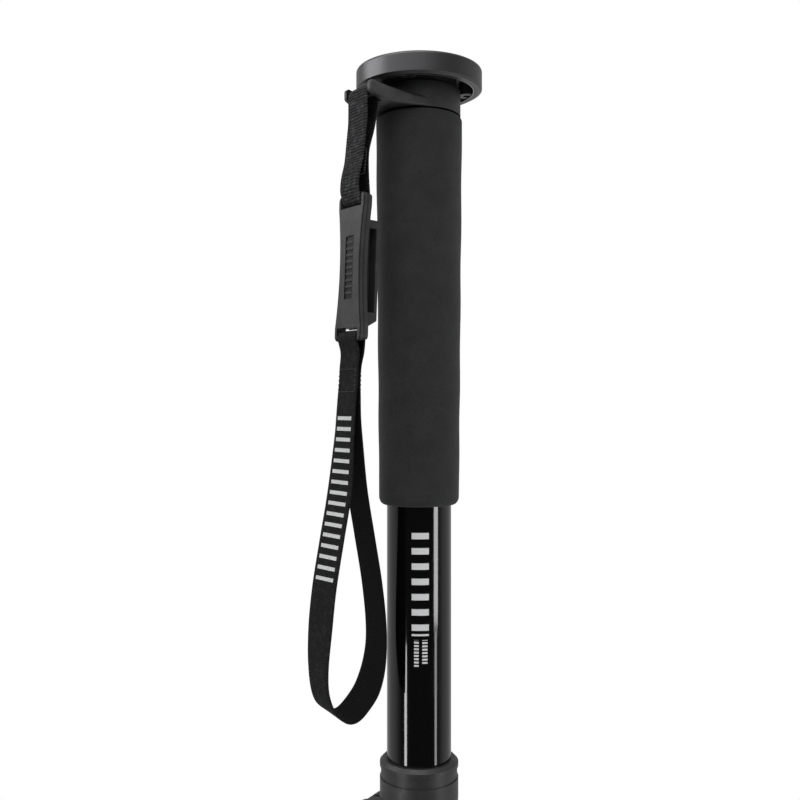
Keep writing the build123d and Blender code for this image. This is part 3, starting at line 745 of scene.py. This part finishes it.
def thread_radius(height, turn_share):
    """The thread's radius at a height and a share of a turn, tapered at the stud's point."""
    phase = ((height - plate_top) / thread_pitch - turn_share) % 1
    wave = min(1.0, max(0.0, flank_slope * abs(phase - 0.5) - crest_flat_share))
    size = thread_crest - (thread_crest - thread_root) * wave
    below_top = stud_top - height
    size = min(size, thread_crest - point_chamfer + below_top * point_slope)
    return max(size, thread_root * min(1.0, below_top * point_root_slope + point_root_share))


def threaded_stud():
    """The stud with its thread, its flange on the platform and its shank inside it."""
    corners = []
    faces = []
    for row in range(stud_rows + 1):
        height = plate_top + (stud_top - plate_top) * row / stud_rows
        for step in range(stud_steps):
            turn = full_turn * step / stud_steps
            size = thread_radius(height, step / stud_steps)
            corners.append((size * math.cos(turn) * mm, size * math.sin(turn) * mm, height * mm))
    for row in range(stud_rows):
        faces += band(row * stud_steps, (row + 1) * stud_steps, stud_steps)
    last_row = stud_rows * stud_steps
    top = len(corners)
    corners.append((0, 0, (stud_top - point_dip) * mm))
    for step in range(stud_steps):
        faces.append((last_row + step, last_row + (step + 1) % stud_steps, top))
    base = len(corners)
    lower = [
        (thread_crest + flange_seat, plate_top),
        (flange_radius - flange_chamfer, plate_top),
        (flange_radius, plate_top - flange_chamfer),
        (flange_radius, plate_top - flange_depth),
        (shank_radius, plate_top - flange_depth),
        (shank_radius, stud_low),
        (closing_radius, stud_low),
    ]
    for radius, height in lower:
        corners += circle(radius, height, stud_steps)
    for row in range(len(lower) - 1):
        faces += band(base + row * stud_steps, base + (row + 1) * stud_steps, stud_steps)
    faces += band(0, base, stud_steps)
    stud = mesh_piece("stud_threaded", corners, faces)
    stud.data.set_sharp_from_angle(angle=sharp_angle)
    return stud


stud = threaded_stud()
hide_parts("camera_stud")
stud_paint = turned_metal("stud_turned", base=0.60, rough=0.25, metallic=1.0, line_depth=0.006)
finish_piece(stud, "grip_section", stud_paint)

# Foam grip

foam_low, foam_high = (corner.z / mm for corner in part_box("foam_grip"))
foam_bottom_radius = 18.66
foam_top_radius = 20.08
foam_top_round = 2.0
foam_bottom_in = 2.6
foam_bottom_up = 3.6
foam_bottom_flat = 0.3
foam_bore = 15.02
foam_bore_chamfer = 0.15
foam_top_dip = 0.05
foam_rows = 90
foam_sag = 0.03
about_a_turn = 6.28


def foam_profile():
    """Half the sleeve's section: a wide round at the bottom, a straight taper and a small round on top."""
    bottom_steps = 8
    top_steps = 6
    taper_low = foam_low + foam_bottom_up
    taper_high = foam_high - foam_top_round
    bottom_in = foam_bottom_radius - foam_bottom_in
    profile = [(foam_bore, foam_low + foam_bore_chamfer), (bottom_in - foam_bottom_flat, foam_low)]
    for step in range(1, bottom_steps):
        turn = step / bottom_steps * math.pi / 2
        radius = bottom_in + foam_bottom_in * math.sin(turn)
        profile.append((radius, foam_low + foam_bottom_up * (1 - math.cos(turn))))
    for row in range(foam_rows + 1):
        height = taper_low + (taper_high - taper_low) * row / foam_rows
        share = (height - taper_low) / (foam_high - taper_low)
        profile.append((foam_bottom_radius + (foam_top_radius - foam_bottom_radius) * share, height))
    for step in range(1, top_steps + 1):
        turn = step / top_steps * math.pi / 2
        radius = foam_top_radius - foam_top_round * (1 - math.cos(turn))
        profile.append((radius, foam_high - foam_top_round * (1 - math.sin(turn))))
    profile.append((foam_bore, foam_high - foam_top_dip))
    return profile


# Each wave of the foam's surface: where it starts, its length upward, how often it goes round, its size
foam_waves = []
for _ in range(9):
    start = random.uniform(0, about_a_turn)
    length = random.uniform(20, 60)
    count = random.choice((1, 2, 3, 5))
    foam_waves.append((start, length, count, random.uniform(0.012, 0.03)))


def foam_wobble(turn, height):
    """The slight unevenness of a foam sleeve that was stretched over its tube."""
    swells = (
        size * math.sin(count * turn + start + height / length * about_a_turn)
        for start, length, count, size in foam_waves
    )
    return sum(swells) - foam_sag


foam = lathe("foam_sleeve", foam_profile(), steps=128, wobble=foam_wobble)
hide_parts("foam_grip")
finish_piece(foam, "grip_section", foam_paint())

# Webbing

width = 15.0
thick = 1.2
bar_gap = 0.2
ear_bar_radius = 2.2
end_bar_radius = 1.65
ear_wrap = ear_bar_radius + bar_gap + thick / 2
end_wrap = end_bar_radius + bar_gap + thick / 2


def around(bar, radius, first, last, steps):
    """Places round a bar, between two angles in degrees."""
    out, up = bar
    turns = [math.radians(first + (last - first) * step / steps) for step in range(steps + 1)]
    return [(out + radius * math.cos(t), up + radius * math.sin(t)) for t in turns]


# Short loop: over the ear's bar, down its rear branch, round the connector's upper bar, and up in front
upper_points = around(ear_bar, ear_wrap, first=-8, last=200, steps=6)
upper_points += [
    (29.2, 459.0), (30.2, 453.0), (31.3, 448.0), (32.6, 443.5), (33.7, 439.0), (34.1, 434.0), (33.9, 426.0),
]
upper_points += around(upper_bar, end_wrap, first=180, last=366, steps=5)
upper_points += [
    (39.3, 421.6), (39.3, 425.2), (38.6, 429.4), (37.5, 433.4), (36.8, 437.0), (35.8, 445.5), (34.9, 454.0),
]
upper_curve = smooth_line(upper_points, per_run=12, closed=True)
upper_line, upper_total = even_line(upper_curve, spacing=0.7, closed=True)


def upper_lean(share):
    """The short loop's slight waver about its own line."""
    waver = 0.012
    two_turns = 12.6
    return waver * math.sin(share * two_turns)


upper = webbing("strap_short_loop", upper_line, upper_total, width, thick, lean=upper_lean)
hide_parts("strap_upper_loop")
ribbed_webbing = webbing_paint(
    "webbing_ribbed", base=0.033, pitch=1.35, relief=0.40, contrast=1.0, shine=0.07, inner=0.3
)
finish_piece(upper, "upper_strap", ribbed_webbing)

# The short loop's cut end, sewn in between its two branches
tail_points = [(35.1, 439.6), (35.3, 436.5), (35.6, 433.6), (35.9, 430.8), (36.1, 428.6)]
tail_narrower = 0.2
tail_thick = 1.3
tail_curve = smooth_line(tail_points, per_run=8, closed=False)
tail_line, tail_total = even_line(tail_curve, spacing=0.6, closed=False)
tail = webbing(
    "strap_short_loop_tail", tail_line, tail_total, width - tail_narrower, tail_thick, closed=False
)
finish_piece(tail, "upper_strap", ribbed_webbing)

# Long loop: round the connector's lower bar, sewn flat below it, then open for the wrist
wrist_points = around(lower_bar, end_wrap, first=-12, last=192, steps=6)
wrist_points += [
    (36.6, 349.8), (38.1, 343.5), (38.6, 337.0), (38.5, 331.0), (38.3, 321.0), (37.3, 310.0),
    (35.15, 289.0), (31.15, 268.0), (27.15, 247.0), (24.9, 228.0), (25.3, 214.0), (28.5, 202.5),
    (33.6, 195.2), (41.8, 189.8), (50.2, 194.0), (54.4, 201.5), (55.7, 213.0), (54.9, 228.0),
    (52.7, 247.0), (48.7, 268.0), (44.6, 289.0), (42.4, 310.0), (41.5, 321.0), (40.6, 331.0),
    (39.9, 337.0), (39.6, 343.5), (39.1, 350.0),
]
wrist_curve = smooth_line(wrist_points, per_run=10, closed=True)
wrist_line, wrist_total = even_line(wrist_curve, spacing=1.0, closed=True)


def along_front(height):
    """How far along the long loop its front branch reaches a height."""
    front_share = 0.6
    first = len(wrist_line) * front_share
    found = [k for k, place in enumerate(wrist_line) if k > first and place[1] >= height]
    return wrist_total * found[0] / len(wrist_line)


# The twist of the long loop: its share of the length and the lean of the webbing about its own line
twist = [
    (0, 0), (0.13, 0), (0.24, 0.06), (0.40, 0.06), (0.48, 0.26), (0.50, 0.26), (0.56, 0.0), (0.66, -0.2),
    (0.80, -0.2), (0.90, 0), (1, 0),
]


def wrist_lean(share):
    """The long loop's twist at a share of its length, eased from one row of the table to the next."""
    for (start, before), (end, after) in zip(twist, twist[1:]):
        if share <= end:
            part = (share - start) / (end - start)
            return before + (after - before) * part * part * (3 - 2 * part)
    return 0.0


wrist = webbing("wrist_webbing", wrist_line, wrist_total, width, thick, lean=wrist_lean)
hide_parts("wrist_loop")
print("webbing lengths", round(upper_total, 1), round(wrist_total, 1))
# Plain bars where the real loop has its print: low end, high end, half width, pitch, share
wrist_print = (along_front(250.0), along_front(322.0), 5.2, 4.7, 0.33)
flat_webbing = webbing_paint(
    "webbing_flat",
    base=0.0155,
    pitch=0.75,
    relief=0.10,
    contrast=0.50,
    shine=0.06,
    inner=0.45,
    print_run=wrist_print,
)
finish_piece(wrist, "wrist_strap", flat_webbing)

# Stitching

black_thread = thread_paint("thread_black", base=0.012)
front = (1, 0, 0.1)
rear = (-1, 0, -0.1)
stitch_half_row = 6.2
stitches_across = 7
stitches_along = 5


def row_across(out, up, proud):
    """One row of stitches across the webbing."""
    return (out, -stitch_half_row, up), (out, stitch_half_row, up), stitches_across, proud


def stitched_box(top, bottom, proud):
    """Two rows across the webbing at two places (out, up), and two that join their ends."""
    runs = [row_across(*top, proud), row_across(*bottom, proud)]
    for side in (-stitch_half_row, stitch_half_row):
        runs.append(((top[0], side, top[1]), (bottom[0], side, bottom[1]), stitches_along, proud))
    return runs


# The rows lie on the webbing's outer and inner faces, out and up
upper_runs = [row_across(39.25, 429.6, front), row_across(37.25, 438.2, front)]
upper_runs += [row_across(33.35, 429.2, rear), row_across(33.2, 438.6, rear)]
upper_thread = stitches("strap_short_loop_stitching", upper_runs)
finish_piece(upper_thread, "upper_strap", black_thread)
wrist_runs = stitched_box((40.25, 342.6), (41.0, 332.6), front)
wrist_runs += stitched_box((37.65, 342.6), (37.95, 332.6), rear)
wrist_thread = stitches("wrist_webbing_stitching", wrist_runs)
finish_piece(wrist_thread, "wrist_strap", black_thread)

# Background and floor

white = (1, 1, 1, 1)
soft_white = (0.98, 0.99, 1.0, 1)
pale_grey = (0.8, 0.8, 0.8, 1)


def surroundings(wiring, way):
    """How bright the studio looks along a direction: dim in front and below, paler above and behind."""
    front_level = 0.045
    behind_level = 0.56
    x, y, z = wiring.split(wiring.fed("ShaderNodeVectorMath", way, operation="NORMALIZE"))
    behind = wiring.eased(y, -0.45, 0.15)
    above = wiring.times(wiring.eased(z, 0.10, 0.62, 0.0, 1.35), wiring.eased(x, -0.1, 0.7, 2.0, 0.30))
    in_front = wiring.times(wiring.plus(above, front_level), wiring.minus(1.0, behind))
    return wiring.plus(in_front, wiring.times(behind, behind_level))


def studio():
    """White to the eye, the studio's own levels in gloss, and a soft light from above on the rest."""
    world = bpy.data.worlds.new("studio")
    bpy.context.scene.world = world
    world.use_nodes = True
    sky = Wiring(world.node_tree)
    out = sky.node("ShaderNodeOutputWorld")
    ray = sky.node("ShaderNodeLightPath").outputs
    way = sky.node("ShaderNodeTexCoord").outputs["Generated"]
    seen = sky.fed("ShaderNodeBackground", white, 1.0)
    mirrored = sky.fed("ShaderNodeBackground", pale_grey, surroundings(sky, way))
    soft_level = sky.eased(sky.split(way)[2], 0.12, 0.85, 0.13, 1.0)
    soft = sky.fed("ShaderNodeBackground", soft_white, soft_level)
    lit = sky.fed("ShaderNodeMixShader", ray["Is Glossy Ray"], soft, mirrored)
    to_eye = sky.maths("MAXIMUM", ray["Is Camera Ray"], ray["Is Transmission Ray"])
    sky.feed(out.inputs[0], sky.fed("ShaderNodeMixShader", to_eye, lit, seen))


def floor_disc():
    """A round floor with rings that widen outward. Their radii are in metres."""
    rings = [0.15, 0.3, 0.6, 1.2, 2.5, 6.0]
    sides = 48
    corners = [(0, 0, 0)]
    faces = [(0, 1 + step, 1 + (step + 1) % sides) for step in range(sides)]
    for radius in rings:
        corners += circle(radius / mm, 0, sides)
    for row in range(len(rings) - 1):
        low = 1 + row * sides
        faces += band(low + sides, low, sides)
    return mesh_piece("floor", corners, faces)


def floor_material():
    """Matte and pale near the object, where its shadow falls, and white to the eye further out."""
    near_radius = 0.10
    far_radius = 0.33
    mirror_height = 0.33
    material = bpy.data.materials.new("floor_pale")
    material.use_nodes = True
    ground = Wiring(material.node_tree)
    out = ground.node("ShaderNodeOutputMaterial")
    ray = ground.node("ShaderNodeLightPath").outputs
    place = ground.node("ShaderNodeTexCoord").outputs["Object"]
    matte = ground.fed("ShaderNodeBsdfDiffuse", pale_grey)
    from_middle = ground.fed(
        "ShaderNodeVectorMath", place, (0, 0, mirror_height), operation="SUBTRACT"
    )
    level = ground.node("ShaderNodeMix")
    ground.feed(level.inputs[0], ray["Is Glossy Ray"])
    level.inputs[2].default_value = 1.0
    ground.feed(level.inputs[3], surroundings(ground, from_middle))
    glow = ground.fed("ShaderNodeEmission", white, level.outputs[0])
    distance = ground.node("ShaderNodeVectorMath", operation="LENGTH")
    ground.feed(distance.inputs[0], place)
    far = ground.eased(distance.outputs["Value"], near_radius, far_radius)
    to_eye = ground.maths("MAXIMUM", ray["Is Camera Ray"], ray["Is Glossy Ray"])
    blend = ground.fed("ShaderNodeMixShader", ground.times(to_eye, far), matte, glow)
    ground.feed(out.inputs[0], blend)
    return material


studio()
floor = floor_disc()
floor.data.materials.append(floor_material())

# Lamps and camera


def softbox(name, turn, distance, low, high, breadth, radiance, aim_up=None):
    """A rectangular lamp that faces the tube. Turn is in degrees to the right of the camera's side.

    A strip or side lamp shows in gloss alone, and the others light everything.
    """
    lamp = bpy.data.lights.new(name, "AREA")
    lamp.shape = "RECTANGLE"
    lamp.size = breadth
    lamp.size_y = high - low
    lamp.energy = radiance * math.pi * breadth * (high - low)
    made = bpy.data.objects.new(name, lamp)
    angle = math.radians(turn)
    middle = (low + high) / 2
    made.location = (distance * math.sin(angle), -distance * math.cos(angle), middle)
    target = Vector((0, 0, middle if aim_up is None else aim_up))
    made.rotation_mode = "QUATERNION"
    made.rotation_quaternion = (target - made.location).to_track_quat("-Z", "Y")
    made.visible_camera = False
    made.visible_diffuse = not name.startswith(("strip", "side"))
    bpy.context.scene.collection.objects.link(made)


# Turn, distance, low and high end, breadth, radiance, and the height aimed at where that isn't its middle
softbox("strip_right", 60.4, 0.60, 0.09, 0.26, 0.165, 10.0)
softbox("strip_right_low", 59.0, 0.30, 0.03, 0.155, 0.044, 5.5)
softbox("strip_left", -48.6, 0.30, 0.035, 0.145, 0.045, 12.0)
softbox("side_left", -90, 0.70, 0.60, 0.85, 0.55, 4.5, 0.47)
softbox("key_left", -55, 0.85, 1.00, 1.50, 0.60, 2.5, 0.40)
softbox("top", -5, 0.50, 1.10, 1.45, 0.70, 1.7, 0.40)

# The camera's place and focal length were fitted to the photograph's ellipses and edges
camera_place = (-0.0089, -0.450, 0.329)
picture_width = 800
focal_pixels = 963.6
sensor_width = 36.0
view = bpy.data.cameras.new("camera")
view.sensor_width = sensor_width
view.lens = focal_pixels * sensor_width / picture_width
view.clip_start = 0.01
view.clip_end = 50
camera = bpy.data.objects.new("camera", view)
camera.location = camera_place
camera.rotation_euler = (math.radians(90), 0, 0)
bpy.context.scene.collection.objects.link(camera)
bpy.context.scene.camera = camera
bpy.context.scene.view_settings.view_transform = "Standard"
